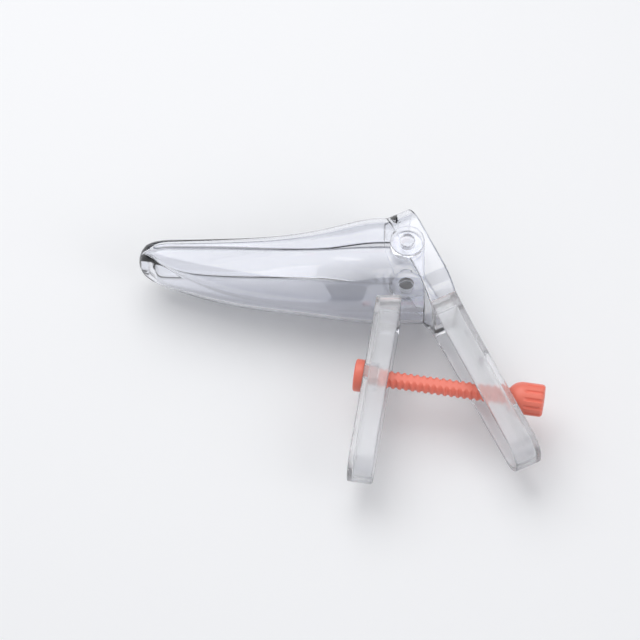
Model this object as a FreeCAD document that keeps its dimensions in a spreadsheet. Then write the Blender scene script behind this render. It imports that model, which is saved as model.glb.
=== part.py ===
import FreeCAD, Part
import math
import os
import Sketcher

# A clear moulded bivalve speculum that lies on its side, with its blades closed.
# Millimetres and degrees. Z is the hinge axis, up from the table. The blades point
# along -X, the handles along -Y, and the hinge axis stands at X = 0, Y = 0.
# The lower end of the hinge, a flat trunnion face, is at Z = 0.

SIZES = {
    # hinge, walls and running clearances
    "half_span": 23.5,
    "wall": 2.0,
    "parting_gap": 0.3,
    "side_gap": 0.3,
    "trunnion_r": 3.5,
    "trunnion_gap": 0.08,
    "lower_ear_r": 7.0,
    "upper_ear_r": 8.0,
    "ear_recess": 0.6,
    "swing": 26.0,
    # bill: how far over the hinge its tip lies
    "tip_rise": 1.6,
    # vestibule of the lower valve
    "vestibule_half": 18.0,
    "vestibule_low": 27.2,
    "vestibule_front": 12.0,
    "vestibule_back": 8.0,
    "vestibule_corner": 14.0,
    # frame of the upper valve round the vestibule, square to the rear handle
    "frame_wall": 2.5,
    "frame_depth": 13.0,
    "frame_front": 2.3,
    "frame_top": 20.8,
    "frame_corner": 13.0,
    "root_drop": 2.2,
    "root_run": 8.0,
    "mouth_low": 30.0,
    "mouth_corner": 15.0,
    "crossbar": 4.0,
    # rear handle, part of the upper valve
    "rear_lean": 25.8,
    "rear_length": 117.0,
    "rear_neck": 15.0,
    "rear_top_half": 11.5,
    "rear_end_half": 10.0,
    "rear_web": 2.2,
    # front handle, part of the lower valve
    "front_lean": 9.0,
    "front_length": 114.0,
    "front_neck": 14.0,
    "front_top_half": 11.0,
    "front_end_half": 10.0,
    "front_depth": 11.6,
    "front_back": 1.1,
    "front_web": 2.2,
    "neck_start": 20.0,
    "neck_end": 46.0,
    "neck_round": 30.0,
    "end_share": 0.92,
    "front_bar": 2.8,
    "front_top_flange": 4.4,
    "rear_top_flange": 4.0,
    "channel_corner": 2.0,
    # screw rod and its head
    "rod_drop": 61.0,
    "rod_r": 4.0,
    "rod_flat": 3.2,
    "rod_reach": 70.0,
    "rod_point": 1.0,
    "key_gap": 0.06,
    "head_r": 7.5,
    "head_thick": 4.5,
    "head_bevel": 1.2,
    "head_bevel_run": 0.84,
    "collar_half": 6.6,
    "collar_tall": 4.0,
    # slot in the rear handle and the thumb nut that bears on it
    "slot_half": 4.6,
    "slot_share": 0.9,
    "slot_play": 0.5,
    "nut_r": 7.5,
    "nut_body": 9.8,
    "nut_bevel": 1.6,
    "nut_gap": 0.08,
    "seat_gap": 0.1,
    "flute_r": 1.5,
    "flute_depth": 0.7,
    "flute_start": 0.5,
    "flute_count": 12,
    # least corner of a hollow, and how far a cut runs past what it cuts
    "least_corner": 0.4,
    "past": 1.0,
}

# The bill's cross-sections, from the tip to the hinge: distance from the hinge, half
# width, height of the upper blade over the hinge, depth of the lower blade under it,
# and the corner radius of each blade.
STATION_WORDS = ("back", "half", "top", "low", "top_corner", "low_corner")
STATIONS = {
    "nose": (124.0, 4.5, 3.6, -0.2, 1.2, 1.0),
    "lip": (120.5, 10.0, 6.6, 2.4, 3.2, 2.8),
    "spoon": (108.0, 14.0, 7.3, 8.4, 4.6, 6.6),
    "bow": (90.0, 14.4, 7.7, 15.8, 5.2, 10.5),
    "waist": (60.0, 14.0, 10.6, 22.6, 7.6, 12.0),
    "throat": (34.0, 15.6, 15.6, 26.0, 10.0, 13.4),
}
TOLERANCE = 1e-6

# A shape is first drawn this large, and its constraints then give it its real size.
DRAWN_R = 1.25
DRAWN_FLAT = 1.0


def make_sheet(doc):
    """Put every driving dimension in one spreadsheet, each under its own name."""
    sheet = doc.addObject("Spreadsheet::Sheet", "Sizes")
    sizes = dict(SIZES)
    for station, values in STATIONS.items():
        for word, value in zip(STATION_WORDS, values):
            sizes[station + "_" + word] = value
    for row, (name, value) in enumerate(sizes.items(), start=1):
        sheet.set("A%d" % row, name)
        sheet.set("B%d" % row, str(value))
        sheet.setAlias("B%d" % row, name)
    doc.recompute()


def spell(words):
    """Write each name of the sheet in an expression in full, as Sizes.name."""
    out = ""
    name = ""
    for letter in words + " ":
        if letter.isalnum() and (name or letter.isalpha()) or letter == "_":
            name += letter
            continue
        plain = name in ("sin", "cos", "tan", "sqrt", "min", "max", "")
        out += (name if plain else "Sizes." + name) + letter
        name = ""
    return out.strip()


def bind(thing, place, words):
    """Bind one property of an object to an expression in the sheet's names."""
    thing.setExpression(place, spell(words))


def origin_item(body, role):
    """The body's own origin plane or axis with this role."""
    return [item for item in body.Origin.OriginFeatures if item.Role == role][0]


def new_body(doc, name):
    """A body whose own middle plane is the object's middle plane."""
    body = doc.addObject("PartDesign::Body", name)
    body.Label = name
    bind(body, "Placement.Base.z", "half_span")
    return body


def new_sketch(body, name, role, lift="0", lean=None):
    """A sketch on an origin plane of the body, lifted along its normal by a named size.

    With a lean, the plane is first turned about Z, so that it is square to a handle.
    """
    sketch = body.newObject("Sketcher::SketchObject", name)
    sketch.AttachmentSupport = [(origin_item(body, role), "")]
    sketch.MapMode = "FlatFace"
    if lean:
        turn = FreeCAD.Rotation(FreeCAD.Vector(0, 1, 0), 1.0)
        sketch.AttachmentOffset = FreeCAD.Placement(FreeCAD.Vector(), turn)
        bind(sketch, "AttachmentOffset.Rotation.Angle", lean)
        bind(sketch, "AttachmentOffset.Base.x", "(%s) * sin(%s)" % (lift, lean))
        bind(sketch, "AttachmentOffset.Base.z", "(%s) * cos(%s)" % (lift, lean))
    else:
        bind(sketch, "AttachmentOffset.Base.z", lift)
    return sketch


def hold(sketch, kind, first, point, words):
    """Hold one point of a sketch at a distance from its origin that the sheet gives."""
    spot = sketch.getPoint(first, point)
    drawn = spot.x if kind == "DistanceX" else spot.y
    number = sketch.addConstraint(Sketcher.Constraint(kind, -1, 1, first, point, drawn))
    bind(sketch, "Constraints[%d]" % number, words)


def hold_radius(sketch, curve, words):
    """Give an arc or circle of a sketch its radius from the sheet."""
    drawn = sketch.Geometry[curve].Radius
    number = sketch.addConstraint(Sketcher.Constraint("Radius", curve, drawn))
    bind(sketch, "Constraints[%d]" % number, words)


def corner_arc(spot, back, ahead, radius):
    """The arc that rounds a corner, as its two ends and the point between them."""
    half = back.getAngle(ahead) / 2.0
    reach = radius / math.tan(half)
    one = spot + FreeCAD.Vector(back).normalize() * reach
    two = spot + FreeCAD.Vector(ahead).normalize() * reach
    inward = ((one + two) * 0.5 - spot).normalize()
    centre = spot + inward * (reach / math.cos(half))
    return one, centre - inward * radius, two


def outline(sketch, corners):
    """Draw a closed outline through named corners, each sharp or rounded by a radius.

    A construction point holds each corner and a construction circle its radius. They are
    solved first, so that the lines and arcs can be drawn in their true places.
    """
    marks = []
    rounds = []
    for across, up, radius in corners:
        mark = sketch.addGeometry(Part.Point(FreeCAD.Vector(len(marks), 1, 0)), True)
        hold(sketch, "DistanceX", mark, 1, across)
        hold(sketch, "DistanceY", mark, 1, up)
        marks.append(mark)
        if radius:
            ring = Part.Circle(FreeCAD.Vector(len(marks), 1, 0), FreeCAD.Vector(0, 0, 1), 1)
            ring = sketch.addGeometry(ring, True)
            sketch.addConstraint(Sketcher.Constraint("Coincident", ring, 3, mark, 1))
            hold_radius(sketch, ring, radius)
            rounds.append(ring)
        else:
            rounds.append(None)
    sketch.Document.recompute()
    spots = [FreeCAD.Vector(sketch.Geometry[m].X, sketch.Geometry[m].Y, 0) for m in marks]
    count = len(spots)
    starts = list(spots)
    ends = list(spots)
    nears = list(spots)
    for i, ring in enumerate(rounds):
        if ring is not None:
            back = spots[i - 1] - spots[i]
            ahead = spots[(i + 1) % count] - spots[i]
            arc_points = corner_arc(spots[i], back, ahead, sketch.Geometry[ring].Radius)
            ends[i], nears[i], starts[i] = arc_points
    lines = []
    for i in range(count):
        line = Part.LineSegment(starts[i], ends[(i + 1) % count])
        lines.append(sketch.addGeometry(line, False))
    for i, ring in enumerate(rounds):
        before = lines[i - 1]
        after = lines[i]
        if ring is None:
            sketch.addConstraint(Sketcher.Constraint("Coincident", before, 2, marks[i], 1))
            sketch.addConstraint(Sketcher.Constraint("Coincident", after, 1, marks[i], 1))
            continue
        arc = sketch.addGeometry(Part.Arc(ends[i], nears[i], starts[i]), False)
        first_is_end = (sketch.getPoint(arc, 1) - ends[i]).Length < TOLERANCE
        one, two = (1, 2) if first_is_end else (2, 1)
        sketch.addConstraint(Sketcher.Constraint("PointOnObject", marks[i], 1, before))
        sketch.addConstraint(Sketcher.Constraint("PointOnObject", marks[i], 1, after))
        sketch.addConstraint(Sketcher.Constraint("Tangent", before, 2, arc, one))
        sketch.addConstraint(Sketcher.Constraint("Tangent", after, 1, arc, two))
        sketch.addConstraint(Sketcher.Constraint("Equal", arc, ring))
    return sketch


def symmetric(corners):
    """Add the mirror image of an outline's corners, in order, to close it round X."""
    mirrored = [(across, "-(%s)" % up, radius) for across, up, radius in reversed(corners)]
    return list(corners) + mirrored


def circle(sketch, across, up, radius):
    """Draw one circle with its centre and radius from the sheet."""
    drawn = Part.Circle(FreeCAD.Vector(), FreeCAD.Vector(0, 0, 1), DRAWN_R)
    ring = sketch.addGeometry(drawn, False)
    hold(sketch, "DistanceX", ring, 3, across)
    hold(sketch, "DistanceY", ring, 3, up)
    hold_radius(sketch, ring, radius)


def keyed_round(sketch, across, radius, flat):
    """Draw a circle with two flats, the section of the rod and of the hole it is keyed in."""
    centre = FreeCAD.Vector()
    normal = FreeCAD.Vector(0, 0, 1)
    full = Part.Circle(centre, normal, DRAWN_R)
    bend = math.asin(DRAWN_FLAT / DRAWN_R)
    side = DRAWN_R * math.cos(bend)
    right = sketch.addGeometry(Part.ArcOfCircle(full, -bend, bend), False)
    left = sketch.addGeometry(Part.ArcOfCircle(full, math.pi - bend, math.pi + bend), False)
    tops = [FreeCAD.Vector(side, DRAWN_FLAT, 0), FreeCAD.Vector(-side, DRAWN_FLAT, 0)]
    top = sketch.addGeometry(Part.LineSegment(tops[0], tops[1]), False)
    lows = [FreeCAD.Vector(-side, -DRAWN_FLAT, 0), FreeCAD.Vector(side, -DRAWN_FLAT, 0)]
    low = sketch.addGeometry(Part.LineSegment(lows[0], lows[1]), False)
    for one, first, two, second in ((right, 2, top, 1), (top, 2, left, 1),
                                    (left, 2, low, 1), (low, 2, right, 1)):
        sketch.addConstraint(Sketcher.Constraint("Coincident", one, first, two, second))
    for arc in (right, left):
        hold(sketch, "DistanceX", arc, 3, across)
        hold(sketch, "DistanceY", arc, 3, "0")
        hold_radius(sketch, arc, radius)
    for line, words in ((top, "%s"), (low, "-(%s)")):
        sketch.addConstraint(Sketcher.Constraint("Horizontal", line))
        hold(sketch, "DistanceY", line, 1, words % flat)


def pad(body, name, sketch, length, both_ways=False):
    """Add a sketch's area to the body, along its normal or evenly both ways."""
    feature = body.newObject("PartDesign::Pad", name)
    feature.Profile = sketch
    feature.Midplane = both_ways
    bind(feature, "Length", length)
    return feature


def pocket(body, name, sketch, length, both_ways=False):
    """Cut a sketch's area from the body, along its normal or evenly both ways."""
    doc = body.Document
    doc.recompute()
    before = body.Shape.Volume
    feature = body.newObject("PartDesign::Pocket", name)
    feature.Profile = sketch
    feature.Midplane = both_ways
    feature.Reversed = True
    bind(feature, "Length", length)
    doc.recompute()
    print(name, "removed", round(before - body.Shape.Volume, 1), "mm3")
    if body.Shape.Volume > before - TOLERANCE:
        raise RuntimeError(name + " cuts nothing")
    return feature


def parting(station_back):
    """Height of the line where the two blades meet, at a distance from the hinge."""
    return "tip_rise * (%s) / nose_back" % station_back


def blade_section(body, name, back, half, reach, corner, upper, inset, meets):
    """One cross-section of a blade: straight at the parting line, round at the belly.

    reach is the belly's distance over or under the hinge, and inset moves the outline
    inwards by the wall for the hollow, which also runs past the parting line.
    """
    side = 1 if upper else -1
    edge = "%s + %d * (%s)" % (parting(back), side, meets)
    belly = "%d * (%s - %s)" % (side, reach, inset)
    across = "%s - %s" % (half, inset)
    round_by = "max(%s - %s; least_corner)" % (corner, inset)
    sketch = new_sketch(body, name, "YZ_Plane", lift="-(%s)" % back)
    outline(sketch, symmetric([(edge, across, None), (belly, across, round_by)]))
    return sketch


def loft(body, kind, name, sections):
    """Join a row of cross-sections by one smooth surface."""
    feature = body.newObject(kind, name)
    feature.Profile = sections[0]
    feature.Sections = sections[1:]
    feature.Ruled = False
    feature.Refine = False
    return feature


def blade(body, upper, root, root_run):
    """Make one blade's solid: a smooth loft to its root, then a straight run.

    Returns the sketches of its hollow, which is cut once what crosses it is in place.
    """
    word = "top" if upper else "low"
    rows = []
    for station in STATIONS:
        rows.append([station + "_" + size for size in ("back", "half", word, word + "_corner")])
    rows.append(root)
    skins = []
    hollows = []
    for number, (back, half, reach, corner) in enumerate(rows):
        tag = word + str(number)
        skins.append(blade_section(body, "skin_" + tag, back, half, reach, corner, upper,
                                   "0", "parting_gap / 2"))
        if number:
            hollows.append(blade_section(body, "hollow_" + tag, back, half, reach, corner, upper,
                                         "wall", "-parting_gap"))
    loft(body, "PartDesign::AdditiveLoft", "blade_" + word, skins)
    pad(body, "root_" + word, skins[-1], root_run)
    return hollows


def hollow_out(body, hollows, root_run):
    """Cut the hollow of a blade and of the straight run at its root."""
    loft(body, "PartDesign::SubtractiveLoft", "trough", hollows)
    pocket(body, "root_hollow", hollows[-1], root_run)


def disc_pair(body, name, radius, inner, outer):
    """Two equal discs on the hinge axis, one each side, from inner to outer half width."""
    for side, word in ((1, "above"), (-1, "below")):
        lift = "%d * (%s)" % (side, inner)
        sketch = new_sketch(body, "%s_%s_round" % (name, word), "XY_Plane", lift=lift)
        circle(sketch, "0", "0", radius)
        feature = pad(body, "%s_%s" % (name, word), sketch, "%s - (%s)" % (outer, inner))
        feature.Reversed = side < 0


def make_lower_valve(doc):
    """Lower blade, vestibule, trunnions and front handle, one clear moulding."""
    body = new_body(doc, "lower_valve")
    root = ["vestibule_front", "vestibule_half", "vestibule_low", "vestibule_corner"]
    hollows = blade(body, False, root, "vestibule_front + vestibule_back")
    inner_ear = "vestibule_half - wall"
    disc_pair(body, "ear", "lower_ear_r", inner_ear, "vestibule_half")
    disc_pair(body, "trunnion", "trunnion_r", inner_ear, "half_span")

    handle = new_sketch(body, "front_handle_outline", "YZ_Plane",
                        lift="front_back - front_depth", lean="-front_lean")
    outline(handle, symmetric([
        ("-neck_start", "front_neck", None),
        ("-neck_end", "front_top_half", "neck_round"),
        ("-front_length", "front_end_half", "end_share * front_end_half"),
    ]))
    pad(body, "front_handle", handle, "front_depth")

    hollow_out(body, hollows, "vestibule_front + vestibule_back + past")

    channel = new_sketch(body, "front_channel_outline", "YZ_Plane",
                         lift="front_back - front_depth + front_web", lean="-front_lean")
    outline(channel, symmetric([
        ("-(vestibule_low + front_bar)", "front_neck - front_top_flange", "channel_corner"),
        ("-neck_end", "front_top_half - wall", "neck_round"),
        ("-(front_length - wall)", "front_end_half - wall",
         "end_share * (front_end_half - wall)"),
    ]))
    pocket(body, "front_channel", channel, "front_depth")

    collar = new_sketch(body, "rod_collar_outline", "YZ_Plane",
                        lift="front_back - front_depth", lean="-front_lean")
    circle(collar, "-rod_drop", "0", "collar_half")
    pad(body, "rod_collar", collar, "front_web + collar_tall")

    key = new_sketch(body, "rod_hole_outline", "YZ_Plane",
                     lift="front_back - front_depth - past", lean="-front_lean")
    keyed_round(key, "-rod_drop", "rod_r + key_gap", "rod_flat + key_gap")
    pocket(body, "rod_hole", key, "front_web + collar_tall + 2 * past")
    return body


def rear_angle(swing):
    """Angle between the rear handle and the front one, at a swing of the hinge."""
    return "(rear_lean + front_lean - (%s))" % swing


WEB_OUT = "(frame_depth - frame_front)"
NUT_SINK = "(sqrt(nut_r * nut_r - slot_half * slot_half) + seat_gap)"


def nut_station(swing):
    """Distance of the nut's ball centre along the rod, where the ball sits in the slot."""
    angle = rear_angle(swing)
    return "((%s + %s) / cos(%s) + rod_drop * tan(%s))" % (WEB_OUT, NUT_SINK, angle, angle)


def make_upper_valve(doc):
    """Upper blade, frame round the vestibule, hinge ears and rear handle, one clear moulding."""
    body = new_body(doc, "upper_valve")
    frame_half = "(vestibule_half + side_gap + frame_wall)"
    mouth_half = "(vestibule_half + side_gap)"
    root = ["vestibule_front", frame_half, "frame_top - root_drop", "frame_corner"]
    hollows = blade(body, True, root, "root_run")
    disc_pair(body, "hinge_ear", "upper_ear_r", mouth_half, "half_span - ear_recess")

    frame = new_sketch(body, "frame_outline", "YZ_Plane", lift="-frame_front", lean="rear_lean")
    outline(frame, symmetric([
        ("frame_top", frame_half, "frame_corner"),
        ("-(mouth_low + frame_wall)", frame_half, "mouth_corner + frame_wall"),
    ]))
    pad(body, "frame", frame, "frame_depth")

    handle = new_sketch(body, "rear_handle_outline", "YZ_Plane",
                        lift="-frame_front", lean="rear_lean")
    outline(handle, symmetric([
        ("-neck_start", "rear_neck", None),
        ("-neck_end", "rear_top_half", "neck_round"),
        ("-rear_length", "rear_end_half", "end_share * rear_end_half"),
    ]))
    pad(body, "rear_handle", handle, "frame_depth")

    hollow_out(body, hollows, "root_run + past")

    mouth = new_sketch(body, "mouth_outline", "YZ_Plane", lift="-frame_front", lean="rear_lean")
    outline(mouth, symmetric([
        ("frame_top - frame_wall", mouth_half, "frame_corner - frame_wall"),
        ("-mouth_low", mouth_half, "mouth_corner"),
    ]))
    pocket(body, "mouth", mouth, "frame_depth + past")

    channel = new_sketch(body, "rear_channel_outline", "YZ_Plane",
                         lift="-frame_front - past", lean="rear_lean")
    outline(channel, symmetric([
        ("-(mouth_low + crossbar)", "rear_neck - rear_top_flange", "channel_corner"),
        ("-neck_end", "rear_top_half - wall", "neck_round"),
        ("-(rear_length - wall)", "rear_end_half - wall",
         "end_share * (rear_end_half - wall)"),
    ]))
    pocket(body, "rear_channel", channel, "frame_depth - rear_web + past")

    closed = rear_angle("0")
    opened = rear_angle("swing")
    foot = "%s * sin(%s) + rod_drop * cos(%s)" % (nut_station("0"), closed, closed)
    high = "(rod_drop + (%s - rear_web) * sin(%s) - rod_r) / cos(%s)" % (WEB_OUT, opened, opened)
    slot = new_sketch(body, "rod_slot_outline", "YZ_Plane",
                      lift="-frame_front", lean="rear_lean")
    outline(slot, symmetric([
        ("-(%s - slot_play)" % high, "slot_half", "slot_share * slot_half"),
        ("-(%s + slot_half + slot_play)" % foot, "slot_half", "slot_share * slot_half"),
    ]))
    pocket(body, "rod_slot", slot, "frame_depth + past")

    bore = new_sketch(body, "hinge_bore_outline", "XY_Plane")
    circle(bore, "0", "0", "trunnion_r + trunnion_gap")
    pocket(body, "hinge_bore", bore, "2 * half_span", both_ways=True)
    return body


def lay_along_rod(body, station):
    """Turn a body's X axis along the rod, and set its origin at a station on the rod's line."""
    body.Placement.Rotation = FreeCAD.Rotation(FreeCAD.Vector(0, 0, 1), -1.0)
    bind(body, "Placement.Rotation.Angle", "-front_lean")
    bind(body, "Placement.Base.x",
         "%s * cos(front_lean) - rod_drop * sin(front_lean)" % station)
    bind(body, "Placement.Base.y",
         "-(%s) * sin(front_lean) - rod_drop * cos(front_lean)" % station)


def make_screw_rod(doc):
    """Coloured rod with a disc head and two flats, keyed in the front handle."""
    body = new_body(doc, "screw_rod")
    seat = "(front_back - front_depth)"
    profile = new_sketch(body, "rod_profile", "XY_Plane")
    outline(profile, [
        (seat + " - head_thick", "0", None),
        (seat + " - head_thick", "head_r - head_bevel", None),
        (seat + " - head_thick + head_bevel_run", "head_r", None),
        (seat, "head_r", None),
        (seat, "rod_r", None),
        ("rod_reach - rod_point", "rod_r", None),
        ("rod_reach", "rod_r - rod_point", None),
        ("rod_reach", "0", None),
    ])
    turned = body.newObject("PartDesign::Revolution", "turned_rod")
    turned.Profile = profile
    turned.ReferenceAxis = (origin_item(body, "X_Axis"), [""])
    turned.Angle = 360
    for side, word in ((1, "above"), (-1, "below")):
        flat = new_sketch(body, "flat_%s_outline" % word, "XZ_Plane")
        outline(flat, [
            (seat, "%d * rod_flat" % side, None),
            ("rod_reach + past", "%d * rod_flat" % side, None),
            ("rod_reach + past", "%d * (rod_r + past)" % side, None),
            (seat, "%d * (rod_r + past)" % side, None),
        ])
        pocket(body, "flat_" + word, flat, "2 * (rod_r + past)", both_ways=True)
    lay_along_rod(body, "0")
    return body


def nut_profile(sketch):
    """Half section of the nut: a ball nose, a round barrel with a bevelled back, and the bore."""
    ball = SIZES["nut_r"]
    inside = SIZES["rod_r"] + SIZES["nut_gap"]
    behind = SIZES["nut_body"]
    bevel = SIZES["nut_bevel"]
    circle_of_nose = Part.Circle(FreeCAD.Vector(), FreeCAD.Vector(0, 0, 1), ball)
    nose_end = math.pi - math.asin(inside / ball)
    nose = sketch.addGeometry(Part.ArcOfCircle(circle_of_nose, math.pi / 2, nose_end), False)
    points = [FreeCAD.Vector(ball * math.cos(nose_end), inside, 0),
              FreeCAD.Vector(behind, inside, 0),
              FreeCAD.Vector(behind, ball - bevel, 0),
              FreeCAD.Vector(behind - bevel, ball, 0),
              FreeCAD.Vector(0, ball, 0)]
    bore, back, slope, barrel = [
        sketch.addGeometry(Part.LineSegment(one, two), False)
        for one, two in zip(points, points[1:])]
    for before, after in ((bore, back), (back, slope), (slope, barrel)):
        sketch.addConstraint(Sketcher.Constraint("Coincident", before, 2, after, 1))
    sketch.addConstraint(Sketcher.Constraint("Coincident", nose, 2, bore, 1))
    sketch.addConstraint(Sketcher.Constraint("Coincident", barrel, 2, nose, 1))
    hold(sketch, "DistanceX", nose, 3, "0")
    hold(sketch, "DistanceY", nose, 3, "0")
    hold_radius(sketch, nose, "nut_r")
    hold(sketch, "DistanceY", bore, 1, "rod_r + nut_gap")
    sketch.addConstraint(Sketcher.Constraint("Horizontal", bore))
    sketch.addConstraint(Sketcher.Constraint("Horizontal", barrel))
    sketch.addConstraint(Sketcher.Constraint("Vertical", back))
    hold(sketch, "DistanceX", back, 1, "nut_body")
    hold(sketch, "DistanceY", back, 2, "nut_r - nut_bevel")
    hold(sketch, "DistanceX", barrel, 1, "nut_body - nut_bevel")
    hold(sketch, "DistanceX", barrel, 2, "0")


def make_thumb_nut(doc):
    """Coloured nut: a ball nose seats in the slot, and flutes round the barrel give grip."""
    body = new_body(doc, "thumb_nut")
    profile = new_sketch(body, "nut_profile", "XY_Plane")
    nut_profile(profile)
    turned = body.newObject("PartDesign::Revolution", "turned_nut")
    turned.Profile = profile
    turned.ReferenceAxis = (origin_item(body, "X_Axis"), [""])
    turned.Angle = 360
    flute = new_sketch(body, "flute_round", "YZ_Plane", lift="flute_start")
    circle(flute, "nut_r + flute_r - flute_depth", "0", "flute_r")
    cut = pocket(body, "flute", flute, "nut_body - nut_bevel - flute_start")
    fan = body.newObject("PartDesign::PolarPattern", "flutes")
    fan.Originals = [cut]
    fan.Axis = (origin_item(body, "X_Axis"), [""])
    fan.Angle = 360
    bind(fan, "Occurrences", "flute_count")
    body.Tip = fan
    lay_along_rod(body, nut_station("0"))
    return body


def check(doc, bodies):
    """Stop if any object has failed or any piece isn't one valid solid."""
    for item in doc.Objects:
        if "Invalid" in item.State or "Error" in item.State:
            raise RuntimeError("%s is %s" % (item.Name, item.State))
    for body in bodies:
        shape = body.Shape
        if shape.isNull() or not shape.isValid():
            raise RuntimeError(body.Label + " has no valid shape")
        box = shape.BoundBox
        print(body.Label, len(shape.Solids), "solid", round(shape.Volume, 1), "mm3",
              [round(v, 2) for v in (box.XMin, box.YMin, box.ZMin, box.XMax, box.YMax, box.ZMax)])


def main():
    doc = FreeCAD.newDocument("bivalve_speculum")
    make_sheet(doc)
    makers = (make_lower_valve, make_upper_valve, make_screw_rod, make_thumb_nut)
    bodies = [maker(doc) for maker in makers]
    doc.recompute()
    check(doc, bodies)
    os.makedirs("parts", exist_ok=True)
    for body in bodies:
        body.Shape.exportStep(os.path.join("parts", body.Label + ".step"))


main()
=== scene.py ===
# %% [markdown]
# # A clear bivalve speculum on its side
#
# The real object is a disposable instrument: two clear polystyrene mouldings that turn
# on each other, and a coral pink screw with a thumb nut that spreads them. This lesson
# dresses the construction model. The sizes come from the construction, and every
# surface here is worked out as a whole grid of points with numpy.

import math

import bmesh
import bpy
import numpy as np
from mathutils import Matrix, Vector


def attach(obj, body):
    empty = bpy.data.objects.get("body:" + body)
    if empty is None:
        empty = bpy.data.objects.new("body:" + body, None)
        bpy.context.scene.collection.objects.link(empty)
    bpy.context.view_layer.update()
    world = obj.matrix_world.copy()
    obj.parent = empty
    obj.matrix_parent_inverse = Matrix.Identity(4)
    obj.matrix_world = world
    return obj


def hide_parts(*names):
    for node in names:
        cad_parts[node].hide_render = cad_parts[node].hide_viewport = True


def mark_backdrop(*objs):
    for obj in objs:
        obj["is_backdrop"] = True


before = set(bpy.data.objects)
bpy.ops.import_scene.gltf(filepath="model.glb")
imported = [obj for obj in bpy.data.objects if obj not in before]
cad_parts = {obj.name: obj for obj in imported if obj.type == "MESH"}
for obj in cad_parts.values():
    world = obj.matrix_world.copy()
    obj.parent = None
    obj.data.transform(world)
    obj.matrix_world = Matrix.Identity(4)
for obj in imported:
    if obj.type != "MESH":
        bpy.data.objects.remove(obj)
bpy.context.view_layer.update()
MM = 0.001

# %% [markdown]
# ## Colours and shader nodes
#
# Colours are written as sRGB hex, the way a paint chart gives them, and Blender's
# sockets want linear light, so one function turns them. A second small function adds
# any shader node with its settings and links, so that a material reads as a short list.

# %% Helpers for materials
def linear(hex_code):
    """Linear RGBA of an sRGB hex colour, by the sRGB transfer curve."""
    channels = np.array([int(hex_code[i:i + 2], 16) for i in (1, 3, 5)]) / 255
    curved = ((channels + 0.055) / 1.055) ** 2.4
    return (*np.where(channels <= 0.04045, channels / 12.92, curved), 1.0)


def add_node(tree, kind, values=None, links=None, **settings):
    """Add a node: settings are attributes, values fill sockets, links join outputs to sockets."""
    made = tree.nodes.new(kind)
    for name, value in settings.items():
        setattr(made, name, value)
    for socket, value in (values or {}).items():
        made.inputs[socket].default_value = value
    for socket, output in (links or {}).items():
        tree.links.new(output, made.inputs[socket])
    return made


def new_material(name):
    """An empty node material and its tree."""
    material = bpy.data.materials.new(name)
    material.use_nodes = True
    material.node_tree.nodes.clear()
    return material, material.node_tree


PAPER_WHITE = "#F6F7F8"
print("paper white in linear light", [round(float(c), 3) for c in linear(PAPER_WHITE)])

# %% [markdown]
# ## Moulded plastics
#
# All the pieces are injection-moulded, so their skin is a print of the mould's skin. One
# function makes them all: a plastic with its index of refraction, a share of light that
# goes through, and a noise of a real size in millimetres. The noise lifts the surface as
# a bump, because such relief is far too shallow to model as points. It reads Object
# coordinates, so it stays on the piece as the piece moves.

# %% A moulded plastic
def moulded(name, colour, roughness, ior, passes, grain, detail, height, strength):
    """A plastic with noise in its surface: grain and height are in millimetres.

    passes is the share of light that goes through, and detail and strength are the
    noise's own.
    """
    material, tree = new_material(name)
    place = add_node(tree, "ShaderNodeTexCoord")
    noise = add_node(tree, "ShaderNodeTexNoise", {"Scale": 1 / (grain * MM), "Detail": detail},
                     {"Vector": place.outputs["Object"]}, noise_dimensions="3D")
    relief = add_node(tree, "ShaderNodeBump", {"Strength": strength, "Distance": height * MM},
                      {"Height": noise.outputs["Fac"]})
    shader = add_node(tree, "ShaderNodeBsdfPrincipled",
                      {"Base Color": linear(colour), "Roughness": roughness, "IOR": ior,
                       "Transmission Weight": passes}, {"Normal": relief.outputs["Normal"]})
    add_node(tree, "ShaderNodeOutputMaterial", links={"Surface": shader.outputs["BSDF"]})
    print("made", material.name)
    return material


# %% [markdown]
# ### Clear polystyrene from a polished mould
#
# The valves are general-purpose polystyrene, IOR 1.59. From a polished mould it is a
# hard, bright, almost colourless plastic, with a faint cool tint where light crosses it
# often, as at an edge, and with very shallow flow waves some 14 mm long.

# %% The blades' plastic
POLYSTYRENE_IOR = 1.59
clear = moulded("polystyrene_clear_polished", "#F9FAFE", roughness=0.03, ior=POLYSTYRENE_IOR,
                passes=1.0, grain=14, detail=1.0, height=0.05, strength=0.5)

# %% [markdown]
# ### The same polystyrene from a spark eroded mould
#
# The mould is eroded round the handles, so that wet gloves hold them. The plastic then
# has a fine grain that scatters about a seventh of the light: from a distance it looks
# whiter than the blades. The grain, some 0.15 mm in the real mould, is drawn at 0.5 mm
# so that it still shows in a render of the whole part.

# %% The handles' plastic
eroded = moulded("polystyrene_clear_eroded", "#FBFCFE", roughness=0.22, ior=POLYSTYRENE_IOR,
                 passes=0.86, grain=0.5, detail=2.0, height=0.03, strength=0.35)

# %% [markdown]
# ### Coral polypropylene
#
# The screw and its nut are moulded in an opaque coral pink plastic with a satin skin, IOR
# 1.49. A softer plastic than the valves' own slides on them without sticking. No light
# goes through it, so the eye gets one even colour with a broad, soft highlight. The
# satin's grain is drawn at 0.6 mm, coarser than the real one, so that it shows.

# %% The screw's plastic
coral = moulded("polypropylene_coral_moulded", "#F4806C", roughness=0.34, ior=1.49,
                passes=0.0, grain=0.6, detail=2.0, height=0.03, strength=0.25)

# %% [markdown]
# ## From arrays to meshes
#
# Every piece is an object at the origin, with its place in its mesh. Points that
# coincide, at a pole or a seam, are merged, and the normals are then turned outwards
# while the solid is still whole.

# %% Points to mesh
MERGE = 0.0005
print("points nearer than", MERGE, "mm are merged")


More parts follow.
